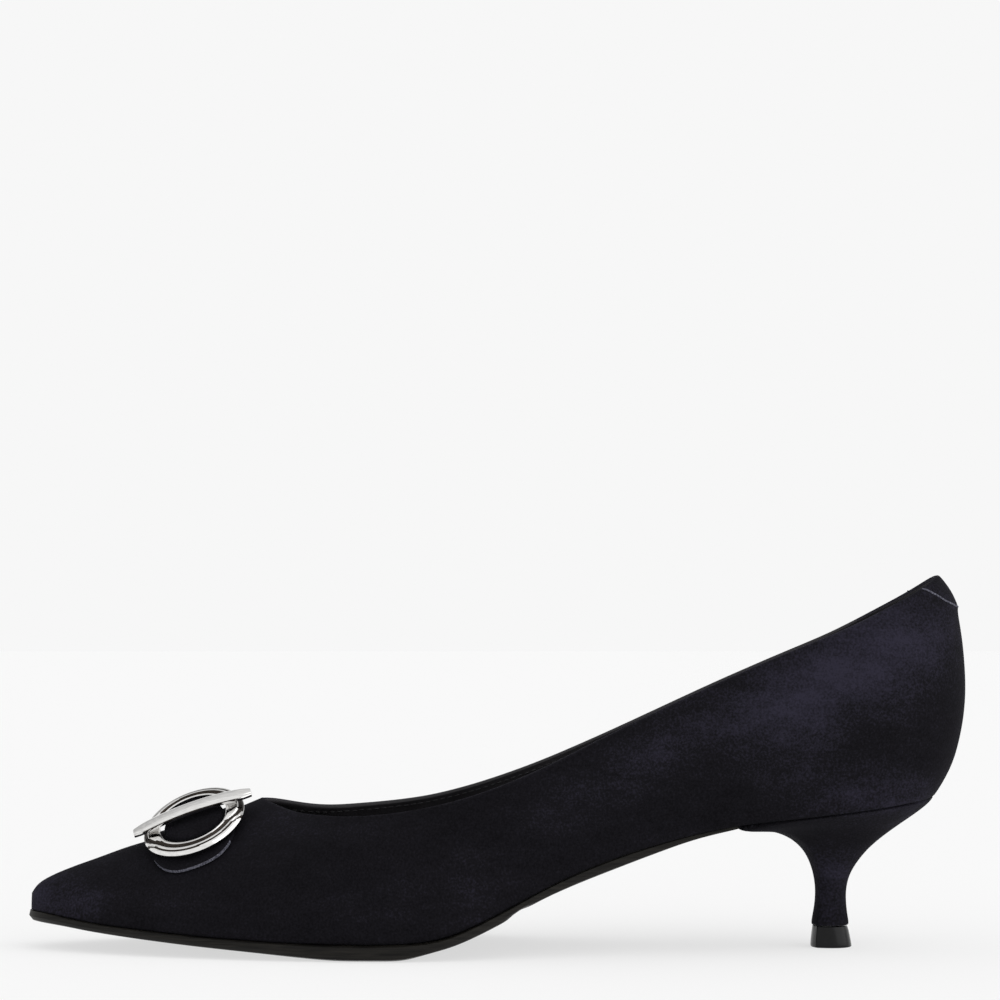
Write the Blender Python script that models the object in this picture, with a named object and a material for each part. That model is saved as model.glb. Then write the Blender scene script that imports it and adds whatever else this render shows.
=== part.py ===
"""A left kitten-heel pump with a pointed toe, a curved low heel and a ring-and-bar ornament.

X runs from the toe (negative) to the back of the shoe, Y from the outer side (negative) to the
inner side, Z up. The origin is the middle of the top lift's lower face, on the floor.
Tables are in millimetres; each row is one place along the shoe.
"""

import math

import bmesh
import bpy
import numpy as np

# Overall sizes in millimetres
MM = 0.001
GAP = 0.3
WALL = 1.6
TOE_X = -222.6
SEAT_BACK_X = 28.9
BREAST_X = -27.5
THROAT_X = -159.2
OUTER, INNER = -1, 1
THROAT_LENGTH = {OUTER: 14.0, INNER: 22.0}
STRETCH_START_X = -10.0
COLUMNS = 10
MERGE = 1e-6
SOLVE_STEPS = 50
SMOOTH_ANGLE = math.radians(40)
METAL_SMOOTH_ANGLE = math.radians(25)

# Places where the spacing of the sections along the shoe changes
TIP_END_X = -202.0
THROAT_END_X = -133.0
SEAT_START_X = 0.0

# Outline of the upper where it meets the sole: place along the shoe, half widths
OUTLINE = (
    # x, outer side, inner side
    (-222.6, 0.0, 0.0),
    (-220.8, 5.2, 5.0),
    (-217.3, 8.9, 8.5),
    (-211.3, 13.0, 12.2),
    (-200.3, 18.9, 17.4),
    (-185.3, 25.2, 22.6),
    (-165.2, 31.6, 28.4),
    (-145.2, 36.0, 32.6),
    (-125.2, 38.0, 34.2),
    (-108.1, 37.0, 32.4),
    (-92.1, 33.8, 28.2),
    (-76.1, 30.2, 24.2),
    (-58.0, 27.0, 21.2),
    (-37.9, 25.2, 20.4),
    (-19.9, 24.8, 21.8),
    (-3.8, 24.6, 23.6),
    (8.3, 23.8, 23.4),
    (17.3, 20.6, 20.4),
    (24.4, 14.6, 14.6),
    (28.9, 0.0, 0.0),
)

# Height of that outline above the floor, and of the last's crown over it
RISE = (
    # x, feather height, crown height, crown centre
    (-222.6, 10.3, 14.6, 0.0),
    (-220.9, 10.3, 17.2, 0.1),
    (-217.4, 10.1, 19.4, 0.3),
    (-211.3, 9.3, 22.0, 0.7),
    (-203.4, 8.2, 24.8, 1.5),
    (-197.4, 7.6, 27.1, 2.2),
    (-185.4, 6.7, 30.6, 3.6),
    (-172.4, 5.8, 35.2, 4.8),
    (-158.1, 5.1, 41.2, 5.2),
    (-147.3, 4.7, 43.1, 5.0),
    (-135.3, 4.5, 48.0, 4.6),
    (-122.3, 4.5, 54.5, 4.0),
    (-110.1, 5.2, 61.5, 3.2),
    (-101.2, 8.0, 67.5, 2.6),
    (-95.1, 10.9, 71.6, 2.2),
    (-88.1, 14.4, 76.5, 1.7),
    (-80.1, 18.6, 82.0, 1.2),
    (-71.1, 22.7, 88.0, 0.8),
    (-61.0, 26.5, 94.5, 0.4),
    (-50.0, 29.9, 101.0, 0.2),
    (-37.8, 33.0, 107.6, 0.0),
    (-27.8, 34.9, 112.8, 0.0),
    (-9.8, 36.9, 121.0, 0.0),
    (8.3, 39.1, 130.0, 0.0),
    (28.9, 41.9, 141.0, 0.0),
)

# Shape of a section between the outline and the crown, as shares of its half width and height
SECTION = (
    # x, bulge, crown fullness, rise of the bulge
    (-222.6, 1.04, 0.80, 0.50),
    (-205.0, 1.05, 0.50, 0.46),
    (-180.0, 1.03, 0.33, 0.42),
    (-158.2, 1.06, 0.35, 0.43),
    (-124.3, 1.12, 0.44, 0.46),
    (-99.2, 1.14, 0.42, 0.45),
    (-59.2, 1.24, 0.36, 0.45),
    (-19.7, 1.42, 0.26, 0.45),
    (28.9, 1.50, 0.22, 0.45),
)

# Height of the topline along the two sides
TOPLINE = (
    # x, outer side, inner side
    (-158.2, 38.4, 38.4),
    (-145.3, 37.5, 37.8),
    (-135.3, 37.2, 38.2),
    (-124.3, 38.0, 38.9),
    (-113.6, 39.6, 40.2),
    (-102.8, 42.1, 42.7),
    (-84.1, 48.9, 48.9),
    (-65.0, 58.2, 57.0),
    (-48.5, 66.1, 64.6),
    (-32.3, 73.6, 72.1),
    (-16.0, 80.6, 79.2),
    (0.5, 87.5, 86.3),
    (16.3, 96.1, 95.4),
    (24.9, 100.9, 100.6),
    (28.9, 103.0, 103.0),
)

# Back of the upper seen from the side
BACK_CURVE = (
    # height above the seat, x
    (0.0, 28.9),
    (2.0, 31.0),
    (4.4, 32.5),
    (7.7, 33.8),
    (11.9, 35.2),
    (17.2, 36.6),
    (22.2, 37.5),
    (29.0, 38.1),
    (38.6, 37.7),
    (47.2, 36.8),
    (53.3, 35.4),
    (56.7, 34.0),
    (58.9, 32.5),
    (61.0, 30.5),
    (70.0, 25.0),
)

# Heel tab at the top of the back: a raised layer of the upper's wall
TAB_LAYER = 0.55
TAB_STEP_WIDTH = 0.35
TAB_DEPTH = 9.6
TAB_START_X = 15.8
TAB_FADE = 0.3
EDGE_BAND = 1.0
RIM_ROUND = 0.55
LEAST_BAND_SHARE = 0.08

# Outsole
SOLE = (
    # x, edge beyond the outline, height of the lower face
    (-222.6, 0.35, 7.6),
    (-212.3, 0.45, 6.8),
    (-203.3, 0.55, 5.7),
    (-175.2, 0.60, 3.1),
    (-158.2, 0.60, 1.8),
    (-146.2, 0.60, 0.80),
    (-136.2, 0.60, 0.0),
    (-118.1, 0.60, 0.0),
    (-112.2, 0.50, 1.6),
    (-104.6, 0.40, 3.6),
    (-98.1, 0.30, 6.3),
    (-92.1, 0.20, 9.2),
    (-88.1, 0.10, 11.3),
    (-81.1, 0.00, 15.0),
    (-71.1, -0.20, 19.3),
    (-61.1, -0.40, 23.1),
    (-50.0, -0.60, 27.3),
    (-37.9, -0.80, 31.5),
    (-27.9, -1.00, 33.8),
)
SOLE_EDGE_TUCK = 0.9
SOLE_TUCK_SHARE = 0.3
SOLE_EDGE_ROUND = 0.35
SOLE_ROUND_SHARE = 0.12
SOLE_LEAST = 0.6
FLAT_START_X = -136.0
FLAT_END_X = -118.0
TREAD_END_X = -87.7
TREAD_STEP = 0.55
TREAD_STEP_RUN = 0.5

# Insole
INSOLE_THICKNESS = 2.0
INSOLE_INSET = WALL + GAP + 0.25

# Heel, from the seat down to the top lift
HEEL_INSET = 0.25
HEEL_FLANK_X = -23.0
HEEL_ROUND_X = 6.0
HEEL_FRONT_SHARES = (0.25, 0.5, 0.75)
HEEL = (
    # front x, front height, back x, back height, half width, roundness
    (-25.5, 33.5, 27.6, 40.1, 23.2, 0.10),
    (-22.3, 33.2, 24.9, 37.9, 21.0, 0.25),
    (-18.0, 32.5, 21.2, 35.3, 18.0, 0.45),
    (-14.0, 31.2, 16.4, 32.0, 14.6, 0.60),
    (-10.4, 29.3, 11.3, 28.0, 11.4, 0.70),
    (-7.5, 26.5, 8.2, 24.5, 9.0, 0.75),
    (-5.8, 23.2, 5.9, 21.2, 7.2, 0.80),
    (-4.7, 19.4, 4.7, 18.2, 6.0, 0.80),
    (-4.3, 15.6, 4.2, 15.0, 5.3, 0.80),
    (-4.5, 12.2, 4.3, 11.6, 5.0, 0.80),
    (-5.1, 8.8, 4.7, 8.4, 5.1, 0.75),
    (-5.5, 6.9, 5.0, 6.9, 5.3, 0.70),
    (-5.4, 6.1, 4.9, 6.1, 5.2, 0.70),
)

# Top lift under the heel
LIFT = (
    # front x, height, back x, half width, roundness
    (-5.2, 5.8, 4.7, 5.0, 0.70),
    (-5.9, 0.5, 5.8, 5.7, 0.70),
    (-5.7, 0.0, 5.7, 5.5, 0.70),
)

# Ornament: its middle, the slope of the bar and the roll of the ring to the outer side
ORNAMENT_X = -175.6
ORNAMENT_Y = -4.4
ORNAMENT_SLOPE = math.radians(19.4)
ORNAMENT_ROLL = math.radians(31.0)
RING_STEPS = 48
RING_SECTION = (
    # radius, height, and the same two beside the bar, where the inner rim widens
    (10.3, -0.90, 9.7, -0.90),
    (10.3, 0.35, 9.7, 0.35),
    (10.7, 0.50, 10.1, 0.50),
    (11.1, 0.25, 13.1, 0.42),
    (11.5, -0.25, 13.3, 0.10),
    (12.0, -0.15, 13.4, 0.02),
    (12.4, 0.20, 13.5, 0.02),
    (13.0, 0.20, 13.6, 0.02),
    (13.3, -0.05, 13.75, -0.10),
    (14.2, -0.20, 14.2, -0.20),
    (14.7, -0.90, 14.7, -0.90),
    (14.4, -1.60, 14.4, -1.60),
    (11.4, -1.60, 11.4, -1.60),
)
WEB_ANGLE = math.radians(34.0)
WEB_SPREAD = 1.5
BAR_LENGTH = 34.3
BAR_SHIFT = 0.4
BAR_ACROSS = 1.4
BAR_WIDTH = 5.4
BAR_END_HEIGHT = 0.3
BAR_ARCH = 1.75
BAR_STEPS = 18
BAR_NARROW_START = 0.84
BAR_END_WIDTH = 0.6
BAR_SECTION = (
    # share of the half width, share of the thickness
    (-1.0, 0.25),
    (-0.6, 0.0),
    (0.6, 0.0),
    (1.0, 0.25),
    (1.0, 0.6),
    (0.6, 0.95),
    (-0.1, 1.0),
    (-0.62, 0.95),
    (-0.70, 0.74),
    (-0.84, 0.72),
    (-0.92, 0.82),
    (-1.0, 0.7),
)
BAR_THICKNESS = 1.6
PAD_HALF_LENGTH = 12.4
PAD_HALF_WIDTH = {OUTER: 17.0, INNER: 11.5}
PAD_SHIFT = -1.3
PAD_SQUARENESS = 2.8
PAD_THICKNESS = 1.0
PAD_CLEAR = 0.45
PAD_RINGS = 5
PAD_STEPS = 36
DOME = (
    # radius, height
    (0.0, 0.60),
    (3.6, 0.60),
    (6.6, 0.50),
    (8.0, 0.20),
    (8.7, -0.40),
)
DOME_FOOT = 9.0
SETTLE_STEPS = 8
RING_CLEAR = 0.35
PLAN_STEP = 0.02
SURFACE_STEP = 0.4
CROWN_SHARE = 0.35


class Curve:
    """A smooth line through the rows of a table that doesn't overshoot between them."""

    def __init__(self, table, column, squared=False):
        rows = np.array(table, float)
        self.x = rows[:, 0]
        self.y = rows[:, column] ** 2 if squared else rows[:, column]
        self.squared = squared
        step = np.diff(self.x)
        rate = np.diff(self.y) / step
        slope = np.zeros(len(self.x))
        for index in range(1, len(step)):
            before, after = rate[index - 1], rate[index]
            if before * after > 0:
                first = 2 * step[index] + step[index - 1]
                second = step[index] + 2 * step[index - 1]
                slope[index] = (first + second) / (first / before + second / after)
        slope[0], slope[-1] = rate[0], rate[-1]
        self.slope = slope

    def __call__(self, x):
        x = min(max(x, self.x[0]), self.x[-1])
        index = min(max(int(np.searchsorted(self.x, x)) - 1, 0), len(self.x) - 2)
        step = self.x[index + 1] - self.x[index]
        share = (x - self.x[index]) / step
        left, right = self.y[index], self.y[index + 1]
        into, out = self.slope[index] * step, self.slope[index + 1] * step
        value = (
            left * (1 + 2 * share) * (1 - share) ** 2
            + into * share * (1 - share) ** 2
            + right * share**2 * (3 - 2 * share)
            + out * share**2 * (share - 1)
        )
        return math.sqrt(max(value, 0.0)) if self.squared else float(value)


half_width = {
    OUTER: Curve(OUTLINE, 1, squared=True),
    INNER: Curve(OUTLINE, 2, squared=True),
}
feather_height = Curve(RISE, 1)
crown_height = Curve(RISE, 2)
crown_centre = Curve(RISE, 3)
bulge = Curve(SECTION, 1)
fullness = Curve(SECTION, 2)
bulge_rise = Curve(SECTION, 3)
topline_height = {OUTER: Curve(TOPLINE, 1), INNER: Curve(TOPLINE, 2)}
back_curve = Curve(BACK_CURVE, 1)
sole_edge = Curve(SOLE, 1)
sole_height = Curve(SOLE, 2)


def solve(function, target, low, high):
    """Where a function that rises from low to high meets the target."""
    for _ in range(SOLVE_STEPS):
        middle = (low + high) / 2
        if function(middle) < target:
            low = middle
        else:
            high = middle
    return (low + high) / 2


def eased(start, end, count, near_start=False, near_end=False):
    """Places from start up to but not including end, closer together near the named ends."""
    places = []
    for index in range(count):
        share = index / count
        if near_start and near_end:
            share = (1 - math.cos(math.pi * share)) / 2
        elif near_start:
            share = 1 - math.cos(math.pi / 2 * share)
        elif near_end:
            share = math.sin(math.pi / 2 * share)
        places.append(start + (end - start) * share)
    return places


def upper_stations():
    """Places along the shoe, closer together round the toe, the throat and the back."""
    places = eased(TOE_X, TIP_END_X, 9, near_start=True)
    places += eased(TIP_END_X, THROAT_X, 8)
    places += eased(THROAT_X, THROAT_END_X, 9, near_start=True)
    places += eased(THROAT_END_X, SEAT_START_X, 19)
    places += eased(SEAT_START_X, SEAT_BACK_X, 10, near_end=True)
    return places + [SEAT_BACK_X]


def last_point(station, side, share):
    """A point of the upper's outer face.

    The share is 0 on the outline at the sole and 1 on the crown of the last.
    """
    foot = feather_height(station)
    centre = crown_centre(station)
    span = side * half_width[side](station) - centre
    first = (1 - share) ** 3
    second = 3 * share * (1 - share) ** 2
    third = 3 * share**2 * (1 - share)
    fourth = share**3
    across = first + second * bulge(station) + third * fullness(station)
    rise = (second * bulge_rise(station) + third + fourth) * (crown_height(station) - foot)
    ahead = max(station - STRETCH_START_X, 0.0) / (SEAT_BACK_X - STRETCH_START_X)
    shift = (back_curve(rise) - SEAT_BACK_X) * ahead**2
    return np.array((station + shift, centre + span * across, foot + rise))


def height_share(station, side, height):
    """The share at which the outer face reaches a height."""
    return solve(lambda share: last_point(station, side, share)[2], height, 0.0, 1.0)


def topline_share(station, side):
    """The share at which the topline cuts the outer face; 1 in front of the throat."""
    if station <= THROAT_X:
        return 1.0
    cut = height_share(station, side, topline_height[side](station))
    along = min((station - THROAT_X) / THROAT_LENGTH[side], 1.0)
    round_off = 1 - math.sqrt(1 - (1 - along) ** 2)
    return cut + (1 - cut) * round_off


def tab_share(station):
    """How far the heel tab reaches down at a station: 0 in front of it, 1 at the back."""
    along = (station - TAB_START_X) / (SEAT_BACK_X - TAB_START_X)
    return math.sin(math.pi / 2 * min(max(along, 0.0), 1.0))


def column_shares(station, side):
    """Shares of the points of one half section, with a line of points along the edge band."""
    cut = topline_share(station, side)
    if station <= THROAT_X:
        return [cut * index / COLUMNS for index in range(COLUMNS + 1)]
    top = last_point(station, side, cut)[2]
    reach = EDGE_BAND + (TAB_DEPTH - EDGE_BAND) * tab_share(station)
    band = height_share(station, side, top - reach)
    even = cut * (COLUMNS - 3) / COLUMNS
    along = min((station - THROAT_X) / THROAT_LENGTH[side], 1.0)
    band = even + (band - even) * along**2
    step = (height_share(station, side, top - reach + TAB_STEP_WIDTH) - band) * along**2
    step = max(step, (cut - band) * LEAST_BAND_SHARE)
    shares = [band * index / (COLUMNS - 3) for index in range(COLUMNS - 2)]
    return shares + [band + step, (band + step + cut) / 2, cut]


def point_key(point):
    return tuple(round(value, 4) for value in point)


def corner_normals(points, faces):
    """Outward direction at each point, shared by points in the same place."""
    total = {}
    for face in faces:
        corners = [points[index] for index in face]
        normal = np.zeros(3)
        for index, corner in enumerate(corners):
            after = corners[(index + 1) % len(corners)]
            normal += np.cross(corner, after)
        for corner in corners:
            key = point_key(corner)
            total[key] = total.get(key, np.zeros(3)) + normal
    return [total[key] / np.linalg.norm(total[key]) for key in map(point_key, points)]


def make_body(name, points, faces, material, smooth_angle=SMOOTH_ANGLE):
    """One closed body from points in millimetres."""
    mesh = bpy.data.meshes.new(name)
    body = bpy.data.objects.new(name, mesh)
    bpy.context.collection.objects.link(body)
    shape = bmesh.new()
    corners = [shape.verts.new([value * MM for value in point]) for point in points]
    for face in faces:
        shape.faces.new([corners[index] for index in face])
    bmesh.ops.remove_doubles(shape, verts=shape.verts, dist=MERGE)
    bmesh.ops.dissolve_degenerate(shape, edges=shape.edges, dist=MERGE)
    bmesh.ops.recalc_face_normals(shape, faces=shape.faces)
    for face in shape.faces:
        face.smooth = True
    for edge in shape.edges:
        if len(edge.link_faces) == 2 and edge.calc_face_angle() > smooth_angle:
            edge.smooth = False
    shape.to_mesh(mesh)
    shape.free()
    mesh.materials.append(material)
    return body


def make_material(name, colour, roughness, metallic=0.0):
    material = bpy.data.materials.new(name)
    material.use_nodes = True
    shader = material.node_tree.nodes["Principled BSDF"]
    shader.inputs["Base Color"].default_value = (*colour, 1.0)
    shader.inputs["Roughness"].default_value = roughness
    shader.inputs["Metallic"].default_value = metallic
    return material


def upper_sheet(stations):
    """Points and faces of the outer face, one half section after another."""
    points, faces, index = [], [], {}
    for place, station in enumerate(stations):
        for side in (OUTER, INNER):
            for column, share in enumerate(column_shares(station, side)):
                index[place, side, column] = len(points)
                points.append(last_point(station, side, share))
    for place in range(len(stations) - 1):
        for side in (OUTER, INNER):
            for column in range(COLUMNS):
                face = [
                    index[place, side, column],
                    index[place + 1, side, column],
                    index[place + 1, side, column + 1],
                    index[place, side, column + 1],
                ]
                faces.append(face if side == OUTER else face[::-1])
    return points, faces, index


def build_upper(material):
    """The hollow upper: outer and inner faces, joined round the topline and at the sole."""
    stations = upper_stations()
    outside, faces, index = upper_sheet(stations)
    normals = corner_normals(outside, faces)
    count = len(outside)
    inside = []
    for point, normal in zip(outside, normals):
        inside.append(point - normal * WALL)
    for (place, side, column), number in index.items():
        if column == 0:
            flat = normals[number] * np.array((1, 1, 0))
            inside[number] = outside[number] - flat / np.linalg.norm(flat) * WALL
    outside = list(outside)
    for (place, side, column), number in index.items():
        if column >= COLUMNS - 2:
            layer = TAB_LAYER * min(tab_share(stations[place]) / TAB_FADE, 1.0)
            outside[number] = outside[number] + normals[number] * layer
    points = outside + inside
    every = faces + [[number + count for number in face[::-1]] for face in faces]
    throat = min(range(len(stations)), key=lambda place: abs(stations[place] - THROAT_X))
    rim = {}
    for side in (OUTER, INNER):
        for place in range(throat, len(stations)):
            top = index[place, side, COLUMNS]
            below = index[place, side, COLUMNS - 1]
            ahead = points[top] - points[below]
            if place == throat:
                ahead = np.array((1.0, 0.0, 0.0))
            ahead = ahead / np.linalg.norm(ahead)
            rim[place, side] = len(points)
            points.append((points[top] + points[top + count]) / 2 + ahead * RIM_ROUND)
        for place in range(len(stations) - 1):
            here, after = index[place, side, 0], index[place + 1, side, 0]
            every.append([here, here + count, after + count, after])
        for place in range(throat, len(stations) - 1):
            here, after = index[place, side, COLUMNS], index[place + 1, side, COLUMNS]
            every.append([here, after, rim[place + 1, side], rim[place, side]])
            here, after = here + count, after + count
            every.append([rim[place, side], rim[place + 1, side], after, here])
    return make_body("upper", points, every, material)


def outline_point(station, side, edge):
    """A point of the outline moved outward by an edge, in plan."""
    low = max(station - PLAN_STEP, TOE_X)
    high = min(station + PLAN_STEP, SEAT_BACK_X)
    if station - TOE_X < MERGE:
        return np.array((TOE_X - edge, 0.0))
    if SEAT_BACK_X - station < MERGE:
        return np.array((SEAT_BACK_X + edge, 0.0))
    rise = half_width[side](high) - half_width[side](low)
    run = high - low
    length = math.hypot(rise, run)
    out = np.array((-rise / length, side * run / length))
    return np.array((station, side * half_width[side](station))) + out * edge


def loft(sections):
    """Points and faces through closed sections, capped at both ends across the section."""
    points = [point for section in sections for point in section]
    size = len(sections[0])
    faces = []
    for row in range(len(sections) - 1):
        for column in range(size):
            here = row * size + column
            after = row * size + (column + 1) % size
            faces.append([here, after, after + size, here + size])
    return points, faces


def across_cap(first, size):
    """Faces that close a section whose points run out on one side and back on the other."""
    faces = []
    for column in range(size // 2 - 1):
        left = first + column
        right = first + size - 1 - column
        faces.append([left, left + 1, right - 1, right])
    return faces


def plate_section(station, edge, tuck, low, high, rounding):
    """A section of a flat piece: up its outer edge, over the top and down its inner edge."""
    def middle(x):
        return (low(x) + high(x)) / 2

    rises = ((edge - tuck, low), (edge + rounding, middle), (edge, high))
    if not rounding:
        rises = (rises[0], rises[2])
    section = []
    for side, order in ((OUTER, rises), (INNER, rises[::-1])):
        for reach, height in order:
            flat = outline_point(station, side, reach)
            section.append(np.array((flat[0], flat[1], height(flat[0]))))
    return section


def build_outsole(material):
    """The outsole from the toe to the heel breast, with a stepped forepart underneath."""
    places = eased(TOE_X, TIP_END_X, 8, near_start=True)
    places += eased(TIP_END_X, FLAT_START_X, 9)
    places += eased(FLAT_START_X, FLAT_END_X, 3)
    places += eased(FLAT_END_X, TREAD_END_X, 7)
    places += [TREAD_END_X, TREAD_END_X + TREAD_STEP_RUN]
    places += eased(TREAD_END_X + TREAD_STEP_RUN, BREAST_X, 11)[1:]
    places += [BREAST_X]

    def top(x):
        return feather_height(x) - GAP

    def bottom(x):
        behind = min(max((x - TREAD_END_X) / TREAD_STEP_RUN, 0.0), 1.0)
        fade = min(max((BREAST_X - x) / (BREAST_X - TREAD_END_X), 0.0), 1.0)
        return min(sole_height(x) + TREAD_STEP * behind * fade, top(x) - SOLE_LEAST)

    sections = []
    for place in places:
        edge = sole_edge(place)
        thick = top(place) - bottom(place)
        tuck = min(SOLE_EDGE_TUCK, thick * SOLE_TUCK_SHARE)
        rounding = min(SOLE_EDGE_ROUND, thick * SOLE_ROUND_SHARE)
        sections.append(plate_section(place, edge, tuck, bottom, top, rounding))
    points, faces = loft(sections)
    size = len(sections[0])
    last = len(points) - size
    faces += across_cap(last, size)
    return make_body("outsole", points, faces, material)


def build_insole(material):
    """The insole, a flat board and sock inside the upper over the outsole and the heel."""
    places = eased(TOE_X, TIP_END_X, 7, near_start=True)
    places += eased(TIP_END_X, SEAT_START_X, 24)
    places += eased(SEAT_START_X, SEAT_BACK_X, 8, near_end=True)
    places += [SEAT_BACK_X]

    def top(x):
        return feather_height(x) + INSOLE_THICKNESS

    sections = []
    for place in places:
        sections.append(
            plate_section(place, -INSOLE_INSET, 0.0, feather_height, top, 0.0)
        )
    points, faces = loft(sections)
    return make_body("insole", points, faces, material)


def round_loop(seat, row_front, row_back, half, roundness):
    """The seat's loop drawn in to a smaller one, its corners rounded off."""
    front, back = seat[:, 0].min(), seat[:, 0].max()
    middle, reach = (front + back) / 2, (back - front) / 2
    wide = np.abs(seat[:, 1]).max()
    loop = []
    for x, y in seat:
        along, across = (x - middle) / reach, y / wide
        angle = math.atan2(across, along)
        along += (math.cos(angle) - along) * roundness
        across += (math.sin(angle) - across) * roundness
        place = (row_front + row_back) / 2 + (row_back - row_front) / 2 * along
        loop.append((place, half * across, (1 + along) / 2))
    return loop


def seat_loop():
    """The heel's plan at the seat, from the breast round the back and along the front again."""
    places = [BREAST_X + GAP] + eased(HEEL_FLANK_X, HEEL_ROUND_X, 5)
    places += eased(HEEL_ROUND_X, SEAT_BACK_X, 6, near_end=True)
    outer = [outline_point(place, OUTER, -HEEL_INSET) for place in places]
    inner = [outline_point(place, INNER, -HEEL_INSET) for place in places]
    back = [outline_point(SEAT_BACK_X, OUTER, -HEEL_INSET)]
    front = [inner[0] + (outer[0] - inner[0]) * share for share in HEEL_FRONT_SHARES]
    return np.array(outer + back + inner[::-1] + front)


def fan_cap(points, first, size, middle):
    """Faces from the rim of a section to a middle point."""
    centre = len(points)
    points.append(middle)
    return [[first + column, first + (column + 1) % size, centre] for column in range(size)]


def build_heel(material):
    """The covered heel: a wide seat drawn down through a narrow neck to the top lift."""
    seat = seat_loop()
    sections = [[np.array((x, y, feather_height(x) - GAP)) for x, y in seat]]
    for front, front_height, back, back_height, half, roundness in HEEL:
        section = []
        for x, y, share in round_loop(seat, front, back, half, roundness):
            height = front_height + (back_height - front_height) * share
            section.append(np.array((x, y, height)))
        sections.append(section)
    points, faces = loft(sections)
    size = len(seat)
    sides = (size - len(HEEL_FRONT_SHARES) - 1) // 2
    for step in range(sides):
        left, right = step, 2 * sides - step
        if left + 1 < right - 1:
            faces.append([left, left + 1, right - 1, right])
        else:
            faces.append([left, left + 1, right])
    faces.append([0] + list(range(2 * sides, size)))
    last = len(points) - size
    low = sections[-1][0][2]
    faces += fan_cap(points, last, size, np.array((0.0, 0.0, low)))
    return make_body("heel", points, faces, material)


def build_top_lift(material):
    """The top lift, flat in front and round behind, wider at the floor."""
    seat = seat_loop()
    sections = []
    for front, height, back, half, roundness in LIFT:
        loop = round_loop(seat, front, back, half, roundness)
        sections.append([np.array((x, y, height)) for x, y, _ in loop])
    points, faces = loft(sections)
    size = len(seat)
    high, low = LIFT[0][1], LIFT[-1][1]
    faces += fan_cap(points, 0, size, np.array((0.0, 0.0, high)))
    faces += fan_cap(points, len(sections) * size - size, size, np.array((0.0, 0.0, low)))
    return make_body("top_lift", points, faces, material)


def vamp_point(x, y):
    """The point of the vamp's outer face over a place in plan."""
    side = OUTER if y < crown_centre(x) else INNER

    def inward(share):
        return -abs(last_point(x, side, share)[1] - crown_centre(x))

    share = solve(inward, -abs(y - crown_centre(x)), CROWN_SHARE, 1.0)
    return last_point(x, side, share)


def vamp_normal(x, y):
    """Outward direction of the vamp over a place in plan."""
    along = vamp_point(x + SURFACE_STEP, y) - vamp_point(x - SURFACE_STEP, y)
    across = vamp_point(x, y + SURFACE_STEP) - vamp_point(x, y - SURFACE_STEP)
    normal = np.cross(along, across)
    return normal / np.linalg.norm(normal)


def ornament_axes():
    """Along the bar, across it to the inner side, and up from the ring's plane."""
    along = np.array((math.cos(ORNAMENT_SLOPE), 0.0, math.sin(ORNAMENT_SLOPE)))
    level = np.array((0.0, 1.0, 0.0))
    upright = np.cross(along, level)
    across = level * math.cos(ORNAMENT_ROLL) + upright * math.sin(ORNAMENT_ROLL)
    return along, across, np.cross(along, across)


def on_vamp(length, width, clear):
    """The point over the vamp at a place along and across the ornament."""
    along, across, up = ornament_axes()
    point = vamp_point(ORNAMENT_X, ORNAMENT_Y) + along * length + across * width
    for _ in range(SETTLE_STEPS):
        foot = vamp_point(point[0], point[1]) + vamp_normal(point[0], point[1]) * clear
        point = point + up * ((foot - point) @ up)
    return point


def pad_outline(angle):
    """The pad's edge at an angle: along the bar and across it."""
    power = 2 / PAD_SQUARENESS
    cosine, sine = math.cos(angle), math.sin(angle)
    length = math.copysign(abs(cosine) ** power, cosine) * PAD_HALF_LENGTH + PAD_SHIFT
    side = OUTER if sine < 0 else INNER
    width = math.copysign(abs(sine) ** power, sine) * PAD_HALF_WIDTH[side]
    return length, width


def pad_ring(share, clear):
    """A ring of points over the vamp, from the dome's foot at share 0 to the pad's edge at 1."""
    ring = []
    for turn in range(PAD_STEPS):
        angle = math.tau * turn / PAD_STEPS
        length, width = pad_outline(angle)
        length = DOME_FOOT * math.cos(angle) * (1 - share) + length * share
        width = DOME_FOOT * math.sin(angle) * (1 - share) + width * share
        ring.append(on_vamp(length, width, clear))
    return ring


def ring_base():
    """The ring's middle, high enough that its lower face clears the pad and the vamp."""
    _, _, up = ornament_axes()
    start = vamp_point(ORNAMENT_X, ORNAMENT_Y)
    lowest = min(height for _, height, _, _ in RING_SECTION)
    narrowest = min(radius for _, _, radius, _ in RING_SECTION)
    widest = max(radius for radius, _, _, _ in RING_SECTION)
    highest = 0.0
    for turn in range(PAD_STEPS):
        angle = math.tau * turn / PAD_STEPS
        for radius in (narrowest, (narrowest + widest) / 2, widest):
            length, width = radius * math.cos(angle), radius * math.sin(angle)
            point = on_vamp(length, width, PAD_CLEAR + PAD_THICKNESS)
            highest = max(highest, (point - start) @ up)
    return start + up * (highest + RING_CLEAR - lowest)


def dome_rings(base):
    """The dome inside the ring, from its middle out."""
    along, across, up = ornament_axes()
    rings = []
    for radius, height in DOME:
        ring = []
        for turn in range(PAD_STEPS):
            angle = math.tau * turn / PAD_STEPS
            out = along * math.cos(angle) + across * math.sin(angle)
            ring.append(base + out * radius + up * height)
        rings.append(ring)
    return rings


def build_pad(material, base):
    """The suede pad under the ring, lying on the vamp and domed inside the ring."""
    shares = [step / PAD_RINGS for step in range(PAD_RINGS + 1)]
    low = [[on_vamp(0.0, 0.0, PAD_CLEAR)] * PAD_STEPS]
    low += [pad_ring(share, PAD_CLEAR) for share in shares]
    high = dome_rings(base)
    high += [pad_ring(share, PAD_CLEAR + PAD_THICKNESS) for share in shares]
    points, faces = loft(high + low[::-1])
    return make_body("ornament_pad", points, faces, material)


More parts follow.
